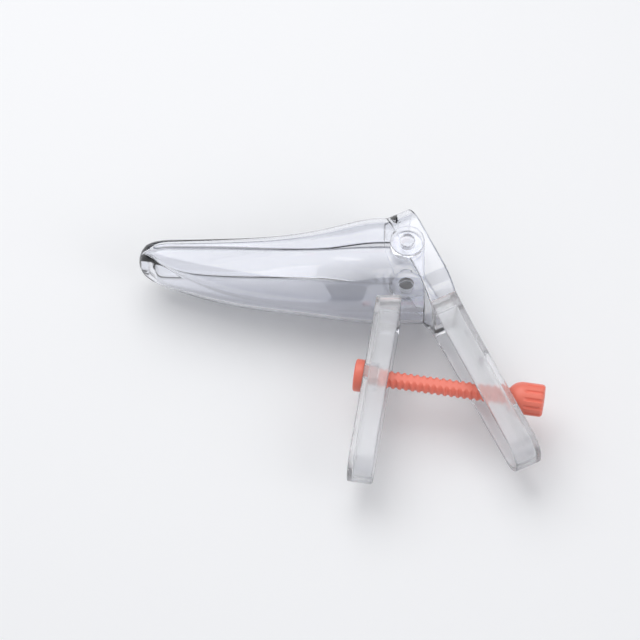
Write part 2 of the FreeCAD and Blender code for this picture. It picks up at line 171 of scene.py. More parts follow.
def make_object(name, points, faces, material):
    """A mesh object at the origin, from points in millimetres, merged and facing outwards."""
    mesh = bpy.data.meshes.new(name)
    mesh.from_pydata((np.asarray(points) * MM).tolist(), [], faces)
    shape = bmesh.new()
    shape.from_mesh(mesh)
    bmesh.ops.remove_doubles(shape, verts=shape.verts, dist=MERGE * MM)
    bmesh.ops.dissolve_degenerate(shape, edges=shape.edges, dist=MERGE * MM)
    bmesh.ops.recalc_face_normals(shape, faces=shape.faces)
    shape.to_mesh(mesh)
    shape.free()
    mesh.materials.append(material)
    made = bpy.data.objects.new(name, mesh)
    bpy.context.scene.collection.objects.link(made)
    return made


# %% [markdown]
# ### Grids
#
# A moulding's surface is a grid: one direction runs along the piece, the other round its
# section. A grid of point numbers, and copies of it rolled by one row or one column, give
# the four corners of all the quads in one step.

# %% Grid to mesh
def grid_object(name, grid, material, ring_rows=False, caps=False):
    """A solid from a grid of points, rows by columns by xyz, closed round its columns.

    ring_rows joins the last row to the first, as on a ring; caps closes both end rows
    with one flat face each.
    """
    rows, columns = grid.shape[:2]
    number = np.arange(rows * columns).reshape(rows, columns)
    if ring_rows:
        here, there = number, np.roll(number, -1, axis=0)
    else:
        here, there = number[:-1], number[1:]
    corners = (here, there, np.roll(there, -1, axis=1), np.roll(here, -1, axis=1))
    faces = np.stack(corners, axis=-1).reshape(-1, 4).tolist()
    if caps:
        faces += [number[0].tolist(), number[-1][::-1].tolist()]
    return make_object(name, grid.reshape(-1, 3), faces, material)


example = np.arange(6).reshape(2, 3)
print("numbers", example.tolist(), "rolled by a column", np.roll(example, -1, axis=1).tolist())

# %% [markdown]
# ## Joining moulded walls
#
# A moulding is one solid, and in clear plastic a hidden inner wall would show as a false
# line. So the walls of each valve are united with exact booleans, and holes are cut the
# same way. Smooth shading then stops at edges sharper than a set angle.

# %% Booleans
SHARP = math.radians(32)
print("edges over", round(math.degrees(SHARP)), "degrees stay sharp")


def combine(target, others, operation):
    """Unite the others with the target, or cut them from it, and remove them."""
    for other in others:
        step = target.modifiers.new("combine", "BOOLEAN")
        step.operation = operation
        step.solver = "EXACT"
        step.material_mode = "TRANSFER"
        step.object = other
        graph = bpy.context.evaluated_depsgraph_get()
        done = bpy.data.meshes.new_from_object(target.evaluated_get(graph))
        target.modifiers.clear()
        target.data = done
        bpy.data.objects.remove(other)
    return target


def shade(piece):
    """Smooth shading that keeps sharp edges sharp."""
    mesh = piece.data
    mesh.polygons.foreach_set("use_smooth", np.ones(len(mesh.polygons), bool))
    mesh.set_sharp_from_angle(angle=SHARP)
    print(piece.name, "has", sum(len(p.vertices) - 2 for p in mesh.polygons), "triangles")
    return piece


# %% [markdown]
# ## The duck bill
#
# Each blade is a trough that swells from a rounded tip to the vestibule. A designer gives
# its section at a few stations: half its width, how far its belly reaches from the hinge
# axis, and the radius of its corners. The section is a U with straight sides, round
# corners and a flat belly, and a wall of 2 mm. The line between the blades rises 1.6 mm
# towards the tip, and each blade stands 0.15 mm off it. As the part lies on its side,
# its middle plane is 23.5 mm over the floor.

# %% Stations of the bill
TIP = 124.0
STATION = np.array([12.0, 34.0, 60.0, 90.0, 108.0, 120.5])
LOWER = {"lie": -1,
         "half": [18.0, 15.6, 14.0, 14.4, 14.0, 10.0],
         "reach": [27.2, 26.0, 22.6, 15.8, 8.4, 2.4],
         "corner": [14.0, 13.4, 12.0, 10.5, 6.6, 2.8]}
UPPER = {"lie": 1,
         "half": [20.74, 15.6, 14.0, 14.4, 14.0, 10.0],
         "reach": [18.55, 15.6, 10.6, 7.7, 7.3, 6.6],
         "corner": [12.95, 10.0, 7.6, 5.2, 4.6, 3.2]}
WALL = 2.0
TIP_RISE = 1.6
PARTING = 0.15
MIDDLE = 23.5
print("the bill has", len(STATION), "stations over", TIP, "mm")

# %% [markdown]
# ### A smooth line through the stations
#
# A loft in steps would show a crease at each station, and clear plastic mirrors every
# crease. A cubic spline goes through all the stations with no jump in its curvature.

# %% Spline
def spline(knots, values, at, level_end=False):
    """Cubic spline through values at knots, level at its first knot.

    Its slopes solve one linear system that makes the curvature agree at every knot. The
    last knot is level too with level_end, and otherwise the curve straightens out there.
    """
    gap = np.diff(knots)
    rise = np.diff(values) / gap
    count = len(knots)
    system = np.eye(count)
    right = np.zeros(count)
    for i in range(1, count - 1):
        system[i, i - 1:i + 2] = gap[i], 2 * (gap[i - 1] + gap[i]), gap[i - 1]
        right[i] = 3 * (gap[i] * rise[i - 1] + gap[i - 1] * rise[i])
    if not level_end:
        system[-1, -2:] = 1, 2
        right[-1] = 3 * rise[-1]
    slope = np.linalg.solve(system, right)
    at = np.clip(at, knots[0], knots[-1])
    i = np.clip(np.searchsorted(knots, at) - 1, 0, count - 2)
    share = (at - knots[i]) / gap[i]
    values = np.asarray(values, float)
    return (values[i] * (1 + 2 * share) * (1 - share) ** 2
            + values[i + 1] * share ** 2 * (3 - 2 * share)
            + gap[i] * slope[i] * share * (1 - share) ** 2
            - gap[i] * slope[i + 1] * share ** 2 * (1 - share))


print("lower belly at 75 mm", round(float(spline(STATION, LOWER["reach"], 75.0)), 2))

# %% [markdown]
# ### Measures along the blade
#
# Near the tip the spline alone would end in a cut face. There a superellipse brings the
# width to nothing and a quarter ellipse the depth, so the nose closes in one smooth pole.

# %% Width, depth and corner at any distance from the hinge
NOSE_ROUND = 3.0
NOSE_SLOPE = 0.5
NOSE_POWER = 2.5
CORNER_SHARE = 0.9


def measures(blade, back):
    """Half width, depth from the parting line, corner radius and height of that line.

    Half width near the tip is a superellipse: the root of one less a power of the share
    of the nose that is left. The depth is the spline times a quarter ellipse.
    """
    lie = blade["lie"]
    spoon = STATION[-2]
    left = 1 - np.clip((TIP - back) / (TIP - spoon), 0, 1)
    nose = blade["half"][-2] * np.sqrt(1 - left ** NOSE_POWER)
    body = spline(STATION[:-1], blade["half"][:-1], back, level_end=True)
    half = np.where(back > spoon, nose, body)
    seam = TIP_RISE * np.maximum(back, STATION[0]) / TIP + lie * PARTING
    past = np.clip(back - STATION[-1], 0, None)
    reach = spline(STATION, blade["reach"], back) - past * NOSE_SLOPE
    close = np.sqrt(1 - (1 - np.clip((TIP - back) / NOSE_ROUND, 0, 1)) ** 2)
    depth = (reach - lie * seam) * close
    corner = np.minimum(spline(STATION, blade["corner"], back),
                        CORNER_SHARE * np.minimum(half, depth))
    return half, depth, corner, seam


samples = measures(LOWER, np.array([TIP, 122.0, 100.0, STATION[0]]))
print("lower half widths", samples[0].round(2), "depths", samples[1].round(2))

# %% [markdown]
# ### The section
#
# One loop of points goes down the outer skin, round one rim, back along the inner skin
# and round the other rim, because nothing sharp may touch the patient. The loop is made
# of the same few pieces on both sides: a straight side, a quarter circle, half a belly.

# %% Half a section
SIDE = np.linspace(0, 1, 9)
TURN = np.linspace(0, np.pi / 2, 15)
BELLY = np.linspace(0, 1, 8)
RIM = np.linspace(0, np.pi / 2, 6)
CORNER_LIMIT = 0.95


def half_section(half, depth, corner, start):
    """From rim to the belly's middle: a straight side, a quarter circle, a straight belly."""
    corner = np.minimum(corner, CORNER_LIMIT * np.minimum(half, depth - start))
    across = np.hstack([half + 0 * SIDE, half - corner + corner * np.cos(TURN),
                        (half - corner) * (1 - BELLY)])
    down = np.hstack([start + (depth - corner - start) * SIDE,
                      depth - corner + corner * np.sin(TURN), depth + 0 * BELLY])
    return across, down


print("half a section has", len(SIDE) + len(TURN) + len(BELLY), "points")

# %% [markdown]
# ### The trough
#
# Where the blade gets thin, towards its tip, the hollow keeps a share of its width and
# the rim's radius shrinks, so that the inner skin never crosses the outer one.

# %% Thick trough
RIM_SHARE = 0.49
RIM_LIMIT = 0.3
HOLLOW_SHARE = 0.3
HOLLOW_CLEAR = 1.05


def trough(blade, back, outer, inner, share):
    """Grid of a thick trough: one row per distance from the hinge, one column round the wall.

    outer and inner are how far each skin lies inside the measured one, and share is how
    much of its depth the hollow has. Each rim is a half circle between the two skins.
    """
    half, depth, corner, seam = (m[:, None] for m in measures(blade, back))
    outer, inner, share = (np.broadcast_to(m, back.shape)[:, None] for m in (outer, inner, share))
    rim = np.minimum(RIM_SHARE * (inner - outer), RIM_LIMIT * np.minimum(half, depth))
    start = outer + rim
    out_half = np.maximum(half - outer, 0)
    in_half = np.maximum(half - inner, HOLLOW_SHARE * half)
    in_depth = np.maximum(depth - inner, outer + HOLLOW_CLEAR * rim)
    in_corner = np.maximum(corner - inner, HOLLOW_SHARE * corner)
    skin = half_section(out_half, depth - outer, np.maximum(corner - outer, 0), start)
    inside = half_section(in_half, in_depth, in_corner, start)
    edge = (out_half - rim + rim * np.cos(RIM), start - rim * np.sin(RIM))
    lip = (in_half + rim - rim * np.sin(RIM), start - rim * np.cos(RIM))
    inside, lip = ((a, outer + share * (d - outer)) for a, d in (inside, lip))
    across = np.hstack([skin[0], -skin[0][:, ::-1], -edge[0], -lip[0],
                        -inside[0], inside[0][:, ::-1], lip[0][:, ::-1], edge[0][:, ::-1]])
    down = np.hstack([skin[1], skin[1][:, ::-1], edge[1], lip[1],
                      inside[1], inside[1][:, ::-1], lip[1][:, ::-1], edge[1][:, ::-1]])
    x = -back[:, None] + 0 * across
    return np.stack([x, seam + blade["lie"] * down, MIDDLE + across], axis=-1)


print("wall", WALL, "mm, least hollow", HOLLOW_SHARE, "of the width")

# %% [markdown]
# ### Rows along a blade
#
# Rows lie close together where the form turns fast: round the nose and at the open end.
# The hollow rises to the rim near the tip, so the nose is solid, and at the open end
# both skins fold to the middle of the wall, which rounds it.

# %% Rows
END_ROUND = 1.0
NOSE_SOLID = 2.2
NOSE_RAMP = 8.0
NOSE_ROWS = 34
BODY_ROWS = 64
END_ROWS = 8


def blade_rows(end):
    """Distances from the hinge, as far as x = end; cosine steps crowd them at the tip."""
    spoon = STATION[-2]
    nose = TIP - (TIP - spoon) * (1 - np.cos(np.linspace(0, np.pi / 2, NOSE_ROWS)))
    body = np.linspace(spoon, STATION[0], BODY_ROWS)[1:]
    run = np.linspace(STATION[0], END_ROUND - end, END_ROWS)[1:]
    close = END_ROUND - end - END_ROUND * np.sin(np.linspace(0, np.pi / 2, END_ROWS))[1:]
    return np.concatenate([nose, body, run, close])


def blade_grid(blade, end):
    """The blade's trough, with its solid nose and its rounded open end.

    The skins' inset at the end is one less a quarter circle, and the hollow's depth at
    the nose rises as a quarter sine.
    """
    back = blade_rows(end)
    into = np.clip((END_ROUND - end - back) / END_ROUND, 0, 1)
    fold = (1 - np.sqrt(1 - into ** 2)) * WALL / 2
    share = np.sin(np.pi / 2 * np.clip((TIP - NOSE_SOLID - back) / NOSE_RAMP, 0, 1))
    return trough(blade, back, fold, WALL - fold, share)


LOWER_END = 8.0
UPPER_END = -4.0
lower_shell = grid_object("lower_shell", blade_grid(LOWER, LOWER_END), clear)
print("lower shell has", len(lower_shell.data.polygons), "faces")

# %% [markdown]
# ## Outlines with round corners
#
# Handles, frame and slot are flat outlines with round corners. An outline moved inwards
# keeps its shape: each corner slides along the line that halves it, and its radius
# shrinks by as much. So every rounded edge and fillet of a tray is a row of such loops.

# %% Rounded outline
BEND = np.linspace(0, 1, 25)
LEAST_RADIUS = 0.01


def rounded(corners, radii, inset=0.0):
    """Points round an outline whose corners run anticlockwise, moved inwards by inset.

    Each corner becomes an arc: its centre lies where both edges, moved in by the radius,
    cross, and the points swing from one edge's normal to the next one's.
    """
    spots = np.asarray(corners, float)
    along = np.roll(spots, -1, axis=0) - spots
    along /= np.linalg.norm(along, axis=1)[:, None]
    before = np.roll(along, 1, axis=0)
    normal = np.stack([-before[:, 1], before[:, 0]], axis=1)
    other = np.stack([-along[:, 1], along[:, 0]], axis=1)
    crossing = before[:, 0] * along[:, 1] - before[:, 1] * along[:, 0]
    level = (before * along).sum(axis=1)
    turn = np.arctan2(crossing, level)
    sign = np.sign(turn)
    radius = np.maximum(np.asarray(radii, float) - sign * inset, LEAST_RADIUS)
    bisector = (normal + other) / (1 + level)[:, None]
    centre = spots + bisector * (inset + sign * radius)[:, None]
    swing = np.arctan2(normal[:, 1], normal[:, 0])[:, None] + turn[:, None] * BEND
    arm = np.stack([np.cos(swing), np.sin(swing)], axis=-1)
    points = centre[:, None] - (sign * radius)[:, None, None] * arm
    return points.reshape(-1, 2)


def mirrored(corners):
    """The corners of a symmetric outline, up and half width, closed anticlockwise."""
    up, across = np.asarray(corners, float).T
    left = np.stack([up, across], axis=1)
    right = np.stack([up, -across], axis=1)[::-1]
    return np.concatenate([left, right])


print("an outline has", len(rounded(mirrored([(1, 1), (-1, 1)]), [0.2] * 4)), "points")

# %% [markdown]
# ## Two leaning frames
#
# Each handle leans about the hinge axis, by its own angle. A handle is drawn upright, as
# on paper, in three directions: out of the paper, up the handle and across it. One
# rotation then puts it in its place.

# %% Leaning
REAR_LEAN = math.radians(25.8)
FRONT_LEAN = math.radians(-9.0)


def place_leaned(out, up, across, lean):
    """World points of out, up and across: out and up are turned by the lean about Z."""
    c, s = math.cos(lean), math.sin(lean)
    return np.stack([out * c - up * s, out * s + up * c, MIDDLE + across], axis=-1)


print("the handles stand", round(math.degrees(REAR_LEAN - FRONT_LEAN), 1), "degrees apart")

# %% [markdown]
# ## Tray handles
#
# A moulded handle is a tray: a thin web with a flange round it, which makes it stiff
# without a thick section that would sink as it cools. Edges are rounded for the hand.

# %% Tray
EDGE = np.linspace(0, np.pi / 2, 7)
BACK_ROUND = 0.8
RIM_ROUND = 0.9
FILLET = 0.8
WEB = 2.2


def tray_grid(outline, channel, face, rim, lean):
    """Grid of a tray: back face, round edge, side, round flange tip, channel wall, fillet.

    outline and channel are corners with radii. Each row is one of them moved inwards, at
    its own depth from the back face, and each round is a quarter circle of such rows: one
    less the sine goes one way, and one less the cosine the other.
    """
    deep = abs(rim - face)
    arc = [(1 - math.sin(a), 1 - math.cos(a)) for a in EDGE]
    rows = [(outline, BACK_ROUND * s, BACK_ROUND * c) for s, c in arc]
    rows += [(outline, RIM_ROUND * c, deep - RIM_ROUND * s) for s, c in arc]
    rows += [(channel, -RIM_ROUND * s, deep - RIM_ROUND * c) for s, c in arc]
    rows += [(channel, FILLET * c, WEB + FILLET * s) for s, c in arc]
    loops = []
    for (corners, radii), inset, depth in rows:
        up, across = rounded(corners, radii, inset).T
        out = face + math.copysign(depth, rim - face)
        loops.append(place_leaned(out, up, across, lean))
    return np.stack(loops)


def prism(outline, inset, low, high, lean):
    """Grid of a straight prism on an outline, from low to high along its normal."""
    up, across = rounded(*outline, inset).T
    return np.stack([place_leaned(out, up, across, lean) for out in (low, high)])


print("a tray has", 4 * len(EDGE), "rows")

# %% [markdown]
# ### The handles' outlines
#
# Both handles have the same plan: wide at the top where they join the valve, a soft
# shoulder 46 mm under the hinge, where the taper eases, and a round end. The channel is
# a smaller outline inside that one, and what is left between them is the flange.

# %% Outlines of the handles
SHOULDER = -46
SHOULDER_ROUND = 30


def handle_outline(top, shoulder, end, rounds):
    """Corners and radii of a handle's outline or channel, symmetric about its middle.

    top and end are height and half width, shoulder is the half width there, and rounds
    are the radii of the corners at the top and at the end.
    """
    corners = mirrored([top, (SHOULDER, shoulder), end])
    radii = [rounds[0], SHOULDER_ROUND, rounds[1]]
    return corners, radii + radii[::-1]


OUTLINE_ROUNDS = (3, 9.2)
CHANNEL_ROUNDS = (2, 7.3)
FRONT_FACE, FRONT_RIM = -10.5, 1.1
FRONT_OUTLINE = handle_outline((-20, 14), 11, (-114, 10), OUTLINE_ROUNDS)
FRONT_CHANNEL = handle_outline((-30, 9.6), 9, (-112, 8), CHANNEL_ROUNDS)
REAR_FACE, REAR_RIM = 10.7, -2.3
REAR_OUTLINE = handle_outline((-20, 15), 11.5, (-117, 10), OUTLINE_ROUNDS)
REAR_CHANNEL = handle_outline((-34, 11), 9.5, (-115, 8), CHANNEL_ROUNDS)
front_tray = grid_object("front_tray", tray_grid(FRONT_OUTLINE, FRONT_CHANNEL, FRONT_FACE,
                                                 FRONT_RIM, FRONT_LEAN), eroded, caps=True)
print("front tray has", len(front_tray.data.polygons), "faces")

# %% [markdown]
# ## Turned forms
#
# Ears, trunnions, the collar, the screw and the nut are round. A profile of stations and
# radii is swept about an axis. An optional cut flattens two sides.

# %% Turning
def turned(path, count, centre, axis, flat=None):
    """Grid of a surface of revolution: each row is one circle of the path.

    path holds station along the axis and radius. axis is a lean, with centre the height
    of the axis in that frame, or "up" for an axis along Z. flat keeps the circle's Z
    within that distance.
    """
    angle = np.linspace(0, 2 * np.pi, count, endpoint=False)
    station, radius = np.asarray(path, float).T[:, :, None]
    one = radius * np.cos(angle)
    two = radius * np.sin(angle)
    if axis == "up":
        return np.stack([centre[0] + one, centre[1] + two, centre[2] + station + 0 * one], axis=-1)
    if flat is not None:
        two = np.clip(two, -flat, flat)
    return place_leaned(station + 0 * one, centre + one, two, axis)


def drum(low, high, radius, soft):
    """Path of a round disc from low to high, each of its edges a quarter circle."""
    start = np.stack([low + soft * (1 - np.cos(EDGE)), radius - soft * (1 - np.sin(EDGE))], axis=1)
    end = np.stack([high - soft * (1 - np.sin(EDGE)), radius - soft * (1 - np.cos(EDGE))], axis=1)
    return np.concatenate([[(low, 0)], start, end, [(high, 0)]])


print("a drum's path has", len(drum(0, 4, 3, 0.5)), "points")

# %% [markdown]
# ### The hinge
#
# The lower valve carries two round ears with a trunnion on each, and the upper valve two
# larger ears with bores, which snap over the trunnions. All are pairs of discs on the
# hinge axis, mirrored about the middle plane.

# %% Ears and trunnions
AROUND = 96
HINGE = (0, 0, MIDDLE)
LOWER_EAR = {"low": 15.94, "high": 18.06, "radius": 7.0, "soft": 0.7}
TRUNNION = {"low": 16.5, "high": MIDDLE, "radius": 3.5, "soft": 0.5}
UPPER_EAR = {"low": 18.34, "high": 22.9, "radius": 8.0, "soft": 0.8}


def hinge_rounds(name, low, high, radius, soft):
    """Two equal discs on the hinge axis, from low to high off the middle plane."""
    return [grid_object(name, turned(drum(*ends, radius, soft), AROUND, HINGE, "up"), clear)
            for ends in ((low, high), (-high, -low))]


print("trunnions", 2 * TRUNNION["radius"], "mm across, ears", 2 * UPPER_EAR["radius"], "mm")

# %% [markdown]
# ## Marks of the mould
#
# Pins push a moulding out of its mould, and each leaves a faint disc on the inner side
# of the web. They stand 0.15 mm proud here and catch a thin ring of light. The plastic
# came in through a pin gate on the outer side, which breaks off and leaves a small stub.

# %% Marks
EJECTOR_MARK = [(-0.3, 0), (-0.3, 2.4), (0.05, 2.4), (0.12, 2.37), (0.15, 2.3), (0.15, 0)]
GATE_STUB = [(-0.3, 0), (-0.3, 2.0), (0.1, 2.0), (0.2, 1.9), (0.2, 1.0), (0.25, 0.85),
             (0.45, 0.8), (0.5, 0.7), (0.55, 0)]
MARK_AROUND = 48


def web_marks(profile, face, outward, ups, lean):
    """Turned marks on a web's face, one at each height, sunk a little into the web.

    The profile holds height above the face and radius.
    """
    height, radius = np.array(profile).T
    path = np.stack([face + outward * height, radius], axis=1)
    return [grid_object("mark", turned(path, MARK_AROUND, up, lean), eroded) for up in ups]


print("an ejector mark is", 2 * max(r for _, r in EJECTOR_MARK), "mm across")

# %% [markdown]
# ## Lower valve
#
# The handle's top is first cut to the hollow of the vestibule, so that nothing stands in
# the passage. The core that cuts it follows the blade's own measures, in the middle of
# the wall. It goes on 6 mm past the parting line, and 1.5 mm past the blade's open end.

# %% Hollow of the vestibule
CORE_BACK = np.linspace(44, -9.5, 40)
CORE_PAST = -6.0


def vestibule_core():
    """Grid of the hollow: the blade's section, moved in by half the wall, as a closed loop."""
    half, depth, corner, seam = (m[:, None] for m in measures(LOWER, CORE_BACK))
    across, down = half_section(half - WALL / 2, depth - WALL / 2, corner - WALL / 2, CORE_PAST)
    return np.stack([-CORE_BACK[:, None] + 0 * np.hstack([across, across]),
                     seam - np.hstack([down, down[:, ::-1]]),
                     MIDDLE + np.hstack([across, -across[:, ::-1]])], axis=-1)


combine(front_tray, [grid_object("hollow", vestibule_core(), clear, caps=True)], "DIFFERENCE")
print("the front tray keeps", len(front_tray.data.polygons), "faces")

# %% [markdown]
# ### One lower moulding
#
# Collar, marks, ears and trunnions are united with the handle and the blade. The collar
# stiffens the web round the screw, and the keyed hole, a circle with two flats that stop
# the screw from turning, is cut last, through web and collar together.

# %% Lower valve
ROD_UP = -61.0
ROD_R = 4.0
ROD_FLAT = 3.2
KEY_GAP = 0.06
CUT_PAST = 1.0
COLLAR_SUNK = 0.5
COLLAR_HIGH = 4.0
COLLAR_TOP = FRONT_FACE + WEB + COLLAR_HIGH
COLLAR = {"low": FRONT_FACE + COLLAR_SUNK, "high": COLLAR_TOP, "radius": 6.6, "soft": 0.7}
FRONT_MARKS = (-42, -82, -100)
FRONT_GATE = (-91,)
collar = grid_object("collar", turned(drum(**COLLAR), AROUND, ROD_UP, FRONT_LEAN), clear)
walls = [front_tray, collar]
walls += web_marks(EJECTOR_MARK, FRONT_FACE + WEB, 1, FRONT_MARKS, FRONT_LEAN)
walls += web_marks(GATE_STUB, FRONT_FACE, -1, FRONT_GATE, FRONT_LEAN)
walls += hinge_rounds("ear", **LOWER_EAR)
walls += hinge_rounds("trunnion", **TRUNNION)
combine(lower_shell, walls, "UNION")
key_path = [(FRONT_FACE - CUT_PAST, ROD_R + KEY_GAP), (COLLAR_TOP + CUT_PAST, ROD_R + KEY_GAP)]
key = turned(key_path, AROUND, ROD_UP, FRONT_LEAN, flat=ROD_FLAT + KEY_GAP)
lower = combine(lower_shell, [grid_object("key", key, clear, caps=True)], "DIFFERENCE")
lower.name = "lower_valve_moulding"
shade(lower)

# %% [markdown]
# ## Upper valve
#
# The frame is a flat band bent to a ring: its section, a rounded strip, is carried round
# the outline. The rear handle is a tray like the front one, with its mouth cut away
# where the frame passes.

# %% Frame and rear handle
FRAME = (mirrored([(20.8, 20.8), (-32.5, 20.8)]), [13, 17.5, 17.5, 13])
FRAME_WALL = 2.5
BAND_ROUND = 0.8
REAR_CUT = (REAR_RIM - CUT_PAST, REAR_FACE + CUT_PAST)
band = rounded([(0, REAR_RIM), (FRAME_WALL, REAR_RIM), (FRAME_WALL, REAR_FACE), (0, REAR_FACE)],
               [BAND_ROUND] * 4)
loops = [place_leaned(out, *rounded(*FRAME, inset).T, REAR_LEAN) for inset, out in band]
ring = grid_object("ring", np.stack(loops), clear, ring_rows=True)
rear_tray = grid_object("rear_tray", tray_grid(REAR_OUTLINE, REAR_CHANNEL, REAR_FACE, REAR_RIM,
                                               REAR_LEAN), eroded, caps=True)
mouth = grid_object("mouth", prism(FRAME, FRAME_WALL / 2, *REAR_CUT, REAR_LEAN), clear, caps=True)
combine(rear_tray, [mouth], "DIFFERENCE")
print("the frame's band has", len(band), "loops")

# %% [markdown]
# ### One upper moulding
#
# The ring, the blade, the ears and the rear handle are one moulding. The hinge bores and
# the long slot, in which the screw swings as the blades open, are cut from the whole.

# %% Upper valve
ROD_SLOT = (mirrored([(-58.7, 4.6), (-91.0, 4.6)]), [4.1] * 4)
BORE_R = 3.58
BORE_HALF = 26
REAR_MARKS = (-45, -104)
REAR_GATE = (-50,)
upper = grid_object("upper_valve_moulding", blade_grid(UPPER, UPPER_END), clear)
walls = [ring, rear_tray]
walls += web_marks(EJECTOR_MARK, REAR_FACE - WEB, -1, REAR_MARKS, REAR_LEAN)
walls += web_marks(GATE_STUB, REAR_FACE, 1, REAR_GATE, REAR_LEAN)
walls += hinge_rounds("hinge_ear", **UPPER_EAR)
combine(upper, walls, "UNION")
bore = turned([(-BORE_HALF, BORE_R), (BORE_HALF, BORE_R)], AROUND, HINGE, "up")
holes = [grid_object("bore", bore, clear, caps=True),
         grid_object("slot", prism(ROD_SLOT, 0, *REAR_CUT, REAR_LEAN), clear, caps=True)]
combine(upper, holes, "DIFFERENCE")
shade(upper)

# %% [markdown]
# ## Screw rod
#
# The rod is moulded with a coarse thread and two flats. The thread is a ridge whose
# height depends on the station less the turn of the angle, so one formula winds it. The
# flats cut it off above and below, where they slide in the keyed hole.

# %% Shapes of the rod
SEAT = FRONT_FACE
ROD_END = 70.0
ROD_POINT = 1.0
ROD_STEP = 0.2
ROD_AROUND = 80
HEAD_R, HEAD_THICK, HEAD_EDGE = 7.5, 4.5, 1.0
DISH_R, DISH_DEEP, DISH_ROWS = 5.4, 0.5, 10
PITCH = 3.0
THREAD = 0.7
FLANK = 2.4
CREST = 0.7
THREAD_IN = (-3.6, -1.6)


def ease(value, low, high):
    """Smooth step from 0 to 1 between two values: three squares less two cubes."""
    share = np.clip((value - low) / (high - low), 0, 1)
    return share * share * (3 - 2 * share)


def rod_path():
    """Stations and radii of the dished head, its rounded rim, the shank and its end."""
    dish = np.linspace(0, DISH_R, DISH_ROWS)
    face = np.stack([SEAT - HEAD_THICK + DISH_DEEP * (1 - (dish / DISH_R) ** 2), dish], axis=1)
    disc = drum(SEAT - HEAD_THICK, SEAT, HEAD_R, HEAD_EDGE)[1:-1]
    shank = np.arange(SEAT, ROD_END - ROD_POINT, ROD_STEP)
    shank = np.stack([shank, ROD_R + 0 * shank], axis=1)
    return np.concatenate([face, disc, shank, [(ROD_END, ROD_R - ROD_POINT), (ROD_END, 0)]])


print("the rod's path has", len(rod_path()), "points")

# %% [markdown]
# ### Winding the thread
#
# A triangle wave of the station in pitches, less the angle in turns, is 0 on the crest
# line and 1 on the root line. Scaled and clipped, it becomes a crest, two flanks and a
# root. It is taken off the shank alone, and fades in past the collar.

# %% Screw rod
def rod_grid():
    """Grid of head, shank and point in one sweep about the rod's axis.

    The groove's depth is the clipped triangle wave, and Z is clipped to the flats.
    """
    station, radius = rod_path().T[:, :, None]
    angle = np.linspace(0, 2 * np.pi, ROD_AROUND, endpoint=False)
    wave = np.abs(2 * np.mod(station / PITCH - angle / (2 * np.pi), 1) - 1)
    groove = THREAD * np.clip(FLANK * wave - CREST, 0, 1)
    on_shank = ease(station, *THREAD_IN) * (np.abs(radius - ROD_R) < ROD_POINT / 2)
    radius = radius - groove * on_shank
    limit = np.where(station > SEAT, ROD_FLAT, np.inf)
    two = np.clip(radius * np.sin(angle), -limit, limit)
    return place_leaned(station + 0 * two, ROD_UP + radius * np.cos(angle), two, FRONT_LEAN)


rod = shade(grid_object("screw_rod_moulding", rod_grid(), coral))

# %% [markdown]
# ## Thumb nut
#
# A ball nose lets the nut seat in the slot at any angle of the handles. Behind it the
# barrel has twelve flutes for the fingers, which fade in after the ball and run out over
# the rounded back edge. A countersink softens the edge of the bore at the back.

# %% Profile of the nut
NUT_AT = 62.76
NUT_R = 7.5
NUT_BACK = 9.78
NUT_EDGE = 1.5
BORE = 4.08
BARREL_START = 0.3
COUNTERSINK = [(0.0, 5.3), (-0.15, 4.95), (-0.9, BORE)]
BORE_ROWS = (5.0, 0.0)
BALL_ROWS = 26
BARREL_ROWS = 22


def nut_path():
    """Stations from the ball's centre and radii: ball, barrel, round edge, bore and back."""
    swing = np.linspace(math.asin(BORE / NUT_R), np.pi / 2, BALL_ROWS)
    ball = np.stack([-NUT_R * np.cos(swing), NUT_R * np.sin(swing)], axis=1)
    edge_at = NUT_BACK - NUT_EDGE
    along = np.linspace(BARREL_START, edge_at, BARREL_ROWS)
    barrel = np.stack([along, np.full(BARREL_ROWS, NUT_R)], axis=1)
    edge = np.stack([edge_at + NUT_EDGE * np.sin(EDGE),
                     NUT_R - NUT_EDGE + NUT_EDGE * np.cos(EDGE)], axis=1)
    sink = [(NUT_BACK + at, radius) for at, radius in COUNTERSINK]
    inside = [(at, BORE) for at in BORE_ROWS]
    return np.concatenate([ball, barrel, edge[1:], sink, inside])


print("the nut's path has", len(nut_path()), "points")

# %% [markdown]
# ### Fluting
#
# A cosine with twelve waves round the nut, clipped and raised to a power, gives twelve
# hollows with ribs of about the same width between them. Two smooth steps fade it: one
# along the barrel, so that the ball stays whole, and one over the radius, so that the
# back face stays flat.

# %% Thumb nut
FLUTES = 12
FLUTE_DEEP = 0.75
FLUTE_WIDE, FLUTE_SHIFT, FLUTE_POWER = 1.35, 0.1, 1.5
FLUTE_IN = (0.4, 2.6)
FLUTE_OUT = (5.4, 6.4)
NUT_AROUND = 288


def nut_grid():
    """Closed grid of the nut: its path swept round, less the flutes' clipped cosine."""
    station, radius = nut_path().T[:, :, None]
    angle = np.linspace(0, 2 * np.pi, NUT_AROUND, endpoint=False)
    flute = np.clip(np.cos(FLUTES * angle) * FLUTE_WIDE - FLUTE_SHIFT, 0, 1) ** FLUTE_POWER
    radius = radius - FLUTE_DEEP * flute * ease(station, *FLUTE_IN) * ease(radius, *FLUTE_OUT)
    out = NUT_AT + station + 0 * radius
    return place_leaned(out, ROD_UP + radius * np.cos(angle), radius * np.sin(angle), FRONT_LEAN)


nut = shade(grid_object("thumb_nut_moulding", nut_grid(), coral, ring_rows=True))
